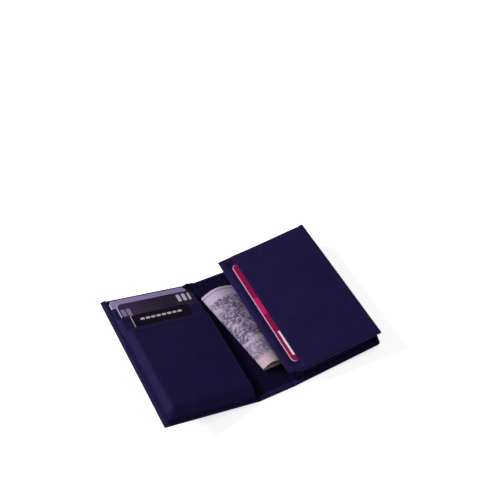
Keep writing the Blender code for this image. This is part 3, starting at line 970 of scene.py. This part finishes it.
# The generic marks on each card, as (centre, half size, corner radius, colour).
PALE, DULL = (0.62, 0.56, 0.74), (0.3, 0.21, 0.38)
LILAC_MARKS = [
    ((2.0, 38.0), (22.0, 0.5), 0.2, (0.75, 0.7, 0.9)),
    ((-18.0, 33.0), (4.0, 3.0), 0.8, (0.6, 0.55, 0.8)),
]
GREY_MARKS = [
    ((-24.2, 35.2), (1.4, 2.8), 0.7, DULL),
    ((-20.6, 35.2), (1.4, 2.8), 0.7, DULL),
    ((15.6, 38.0), (1.2, 3.0), 0.6, PALE),
    ((19.4, 38.0), (1.2, 3.0), 0.6, PALE),
    ((23.0, 38.0), (0.8, 3.0), 0.4, PALE),
]
TAG_DASHES = [((-13.0 + 3.7 * i, 30.6), (1.4, 0.8), 0.4, (0.6, 0.57, 0.66)) for i in range(8)]
RED_MARKS = [
    ((24.6, 4.7), (2.6, 7.1), 0.2, (0.62, 0.012, 0.14)),
    ((23.1, -27.9), (1.4, 10.0), 0.2, (0.95, 0.85, 0.95)),
]


def pocket_card(name, corner, size, radius, ground, lit_rim_colour, marks, specular=0.3):
    middle = (corner[0] + size[0] / 2 - CARD_PANEL_WIDTH, corner[1] - size[1] / 2)
    paint(name, card_material(
        name + "_print", "card_panel", middle, size, radius, ground, lit_rim_colour, marks, specular=specular))


def make_cards():
    # The third colour of each card is the pale core at its rim, painted as a highlight on the lit
    # side.
    pocket_card(
        "lilac_card", LILAC_CORNER, CARD, CARD_RADIUS,
        ((0.42, 0.33, 0.6), (0.36, 0.27, 0.52)), (0.7, 0.62, 0.82), LILAC_MARKS)
    pocket_card(
        "grey_card", GREY_CORNER, CARD, CARD_RADIUS,
        ((0.075, 0.045, 0.12), (0.022, 0.012, 0.04)), (0.5, 0.45, 0.6), GREY_MARKS)
    pocket_card(
        "black_tag", TAG_CORNER, TAG, TAG_RADIUS,
        ((0.006, 0.004, 0.01), (0.01, 0.006, 0.014)), (0.45, 0.4, 0.52), TAG_DASHES, 0.12)
    middle = (FLAP_WIDTH - RED_SHOWS - CARD[0] / 2, FLAP_FRONT + RED_FRONT + CARD[1] / 2)
    paint("red_card", card_material(
        "red_card_print", "flap", middle, CARD, CARD_RADIUS,
        ((0.34, 0.001, 0.075), (0.34, 0.001, 0.07)), (0.75, 0.45, 0.6), RED_MARKS, side=1.0))


# ---- stitching


# A stitch's length as rings (share of its length from its middle, share of its radius).
STITCH_RINGS = ((-0.5, 0.35), (-0.36, 0.9), (0.0, 1.05), (0.36, 0.9), (0.5, 0.35))
STITCH_SIDES = 6
STITCH_DIP = 0.12


def point_on(route, distance):
    """The point at a distance along a route of points, and the route's direction there."""
    for a, b in zip(route, route[1:]):
        span = np.linalg.norm(b - a)
        if distance <= span:
            break
        distance -= span
    return a + (b - a) * (distance / span), (b - a) / span


def stitch_row(name, body, route, pitch=2.3, length=1.5, radius=0.14):
    """A row of stitches along a route of points (x, v, h) on one panel: short round threads, each
    dipping into the cloth at its ends."""
    route = [np.array(p, float) for p in route]
    total = sum(np.linalg.norm(b - a) for a, b in zip(route, route[1:]))
    count = max(1, int(total / pitch))
    up = np.array((0.0, 0.0, 1.0 if body != "flap" else -1.0))
    sides = range(STITCH_SIDES)
    points, faces, flats = [], [], []
    for i in range(count):
        middle, direction = point_on(route, (i + 0.5) * total / count)
        side = np.cross(up, direction)
        base = len(points)
        for t, size in STITCH_RINGS:
            dip = STITCH_DIP if abs(t) == 0.5 else 0.0
            for k in sides:
                a = 2 * math.pi * k / STITCH_SIDES
                out = (side * math.cos(a) + up * math.sin(a)) * radius * size
                points.append(place(body, *(middle + direction * t * length - up * dip + out)))
                flats.append((t * length, a * radius))
        starts = range(base, len(points), STITCH_SIDES)
        rings = [[start + k for k in sides] for start in starts]
        for near, far in zip(rings, rings[1:]):
            for k in sides:
                q = (k + 1) % STITCH_SIDES
                faces.append((near[k], near[q], far[q], far[k]))
        faces += [tuple(rings[0][::-1]), tuple(rings[-1])]
    mesh = bpy.data.meshes.new(name)
    mesh.from_pydata((np.array(points) * MM).tolist(), [], faces)
    layer = mesh.uv_layers.new(name="cloth")
    for loop in mesh.loops:
        layer.data[loop.index].uv = Vector(flats[loop.vertex_index]) * MM
    obj = finish_mesh(bpy.data.objects.new(name, mesh), THREAD)
    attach(obj, body)


# How far a row of stitches lies inside its edge, and its height, in mm.
FRONT_ROW, FRONT_ROW_H = 2.1, 1.68
BACK_ROW, BACK_ROW_H = 1.2, 1.66
LEFT_ROW, LEFT_ROW_H = 2.3, 2.18
MOUTH_ROW, MOUTH_ROW_LIFT = 2.0, 0.26
FLAP_ROW, FLAP_ROW_H = 1.9, 0.03
FREE_EDGE_ROW, FREE_EDGE_ROW_H = 2.4, 0.8
ROW_END = 1.6


def make_stitches():
    left = -CARD_PANEL_WIDTH
    route = [(left + LEFT_ROW, v, LEFT_ROW_H) for v in (2.2, DEPTH - 1.0)]
    stitch_row("stitches_left_hem", "card_panel", route)
    front, back = (FRONT_ROW, FRONT_ROW_H), (DEPTH - BACK_ROW, BACK_ROW_H)
    for name, body, start, end, row in (
        ("card_front", "card_panel", left + 3.6, -ROW_END, front),
        ("spine_front", "spine", ROW_END, SPINE_WIDTH - ROW_END, front),
        ("spine_back", "spine", ROW_END, SPINE_WIDTH - ROW_END, back),
        ("bill_front", "bill_panel", ROW_END, BILL_PANEL_WIDTH - ROW_END, front),
        ("bill_back", "bill_panel", ROW_END, BILL_PANEL_WIDTH - ROW_END, back),
    ):
        stitch_row("stitches_" + name, body, [(start, *row), (end, *row)])
    for level, name in enumerate(("rear", "middle", "front")):
        v = POCKET_MOUTHS[level] - MOUTH_ROW
        h = pocket_height(level, 30.0, v) + MOUTH_ROW_LIFT
        route = [(left + 13.0, v, h), (left + POCKET_RIGHT - 2.0, v, h)]
        stitch_row("stitches_mouth_" + name, "card_panel", route)
    u = POCKET_RIGHT - 1.2
    seam = [(v, pocket_height(2, u, v) + pocket_swell(2, u, v) + 0.2) for v in (4.5, 8.0, 68.0)]
    seam = [(left + u, v, h) for v, h in seam]
    stitch_row("stitches_pocket_side", "card_panel", seam, pitch=1.5, length=1.2, radius=0.18)
    near, far, h = FLAP_FRONT + FLAP_ROW, FLAP_BACK - FLAP_ROW, FLAP_ROW_H
    free_edge = FLAP_WIDTH - FREE_EDGE_ROW
    for name, start, end in (
        ("front", (2.0, near, h), (SLIT - 1.5, near, h)),
        ("back", (2.0, far, h), (SLIT - 1.5, far, h)),
        ("fold", (FLAP_ROW, near, h), (FLAP_ROW, far, h)),
    ):
        stitch_row("stitches_flap_" + name, "flap", [start, end])
    stitch_row("stitches_slit", "flap", [(SLIT - 0.8, near, h), (SLIT - 0.8, far, h)])
    stitch_row("stitches_flap_edge", "flap", [
        (free_edge, near, FREE_EDGE_ROW_H), (free_edge, far, FREE_EDGE_ROW_H)])


# ---- board, stage


def board_material():
    material, tree, shader = new_material("board", 0.9)
    fibre = noise(tree, row_frame_point(tree), 1800.0, 5.0, 0.7)
    colour = mix_colour(tree, fibre, (0.26, 0.24, 0.21), (0.45, 0.43, 0.39))
    wire(tree, colour, shader.inputs["Base Color"])
    bump(tree, shader, fibre, 0.3, 0.1)
    return material


def make_boards():
    board = board_material()
    for name in ("spine_interlining", "card_panel_board", "bill_panel_board"):
        paint(name, board)


def area_light(name, location, size, energy):
    """A round lamp that points at the wallet."""
    data = bpy.data.lights.new(name, "AREA")
    data.shape = "DISK"
    data.size = size
    data.energy = energy
    light = bpy.data.objects.new(name, data)
    light.location = location
    light.rotation_euler = (-Vector(location)).to_track_quat("-Z", "Y").to_euler()
    bpy.context.scene.collection.objects.link(light)


# The floor's own light keeps it as white as the photograph's without washing out the cloth.
FLOOR_REACH, FLOOR_GLOW = 3.0, 0.74
WORLD_LIGHT = 0.12
KEY_LIGHT = ((-0.79, 0.58, 0.62), 0.35, 12.6)
FILL_LIGHT = ((0.0, -0.3, 1.1), 0.6, 1.6)


def make_stage():
    square = ((-1, -1), (1, -1), (1, 1), (-1, 1))
    corners = [(x * FLOOR_REACH, y * FLOOR_REACH, 0) for x, y in square]
    mesh = bpy.data.meshes.new("floor")
    mesh.from_pydata(corners, [], [(0, 1, 2, 3)])
    floor = bpy.data.objects.new("floor", mesh)
    bpy.context.scene.collection.objects.link(floor)
    material, tree, shader = new_material("floor", 0.7, specular=0.1)
    shader.inputs["Base Color"].default_value = (0.95, 0.95, 0.95, 1.0)
    shader.inputs["Emission Color"].default_value = (1.0, 1.0, 1.0, 1.0)
    shader.inputs["Emission Strength"].default_value = FLOOR_GLOW
    mesh.materials.append(material)
    world = bpy.data.worlds.new("studio")
    world.use_nodes = True
    background = world.node_tree.nodes["Background"]
    background.inputs["Color"].default_value = (1, 1, 1, 1)
    background.inputs["Strength"].default_value = WORLD_LIGHT
    bpy.context.scene.world = world
    area_light("key", *KEY_LIGHT)
    area_light("fill", *FILL_LIGHT)
    bpy.context.scene.view_settings.view_transform = "Standard"


# The camera that was fitted to the photograph: where it looks, from how far and at what angles.
CAMERA_TARGET = (35.54, 69.85, 0.0)
CAMERA_DISTANCE = 676.4
CAMERA_AZIMUTH, CAMERA_ELEVATION, CAMERA_ROLL = -27.31, 48.87, 0.58
CAMERA_LENS, CAMERA_SENSOR = 73.4, 36.0


def make_camera():
    azimuth, elevation, roll = map(math.radians, (CAMERA_AZIMUTH, CAMERA_ELEVATION, CAMERA_ROLL))
    flat = math.cos(elevation)
    back = Vector((math.sin(azimuth) * flat, -math.cos(azimuth) * flat, math.sin(elevation)))
    right = Vector((math.cos(azimuth), math.sin(azimuth), 0))
    up = back.cross(right)
    rolled_right = right * math.cos(roll) + up * math.sin(roll)
    rolled_up = up * math.cos(roll) - right * math.sin(roll)
    data = bpy.data.cameras.new("camera")
    data.lens = CAMERA_LENS
    data.sensor_width = CAMERA_SENSOR
    data.clip_start = 0.01
    camera = bpy.data.objects.new("camera", data)
    position = (Vector(CAMERA_TARGET) + back * CAMERA_DISTANCE) * MM
    turned = Matrix((rolled_right, rolled_up, back)).transposed().to_4x4()
    camera.matrix_world = Matrix.Translation(position) @ turned
    bpy.context.scene.collection.objects.link(camera)
    bpy.context.scene.camera = camera


def main():
    make_camera()
    shells = make_shell()
    left_hem = make_left_hem()
    make_linings()
    make_pockets()
    make_flap_facing()
    make_bill_pocket()
    make_note()
    make_cards()
    make_boards()
    make_stitches()
    make_stage()


main()
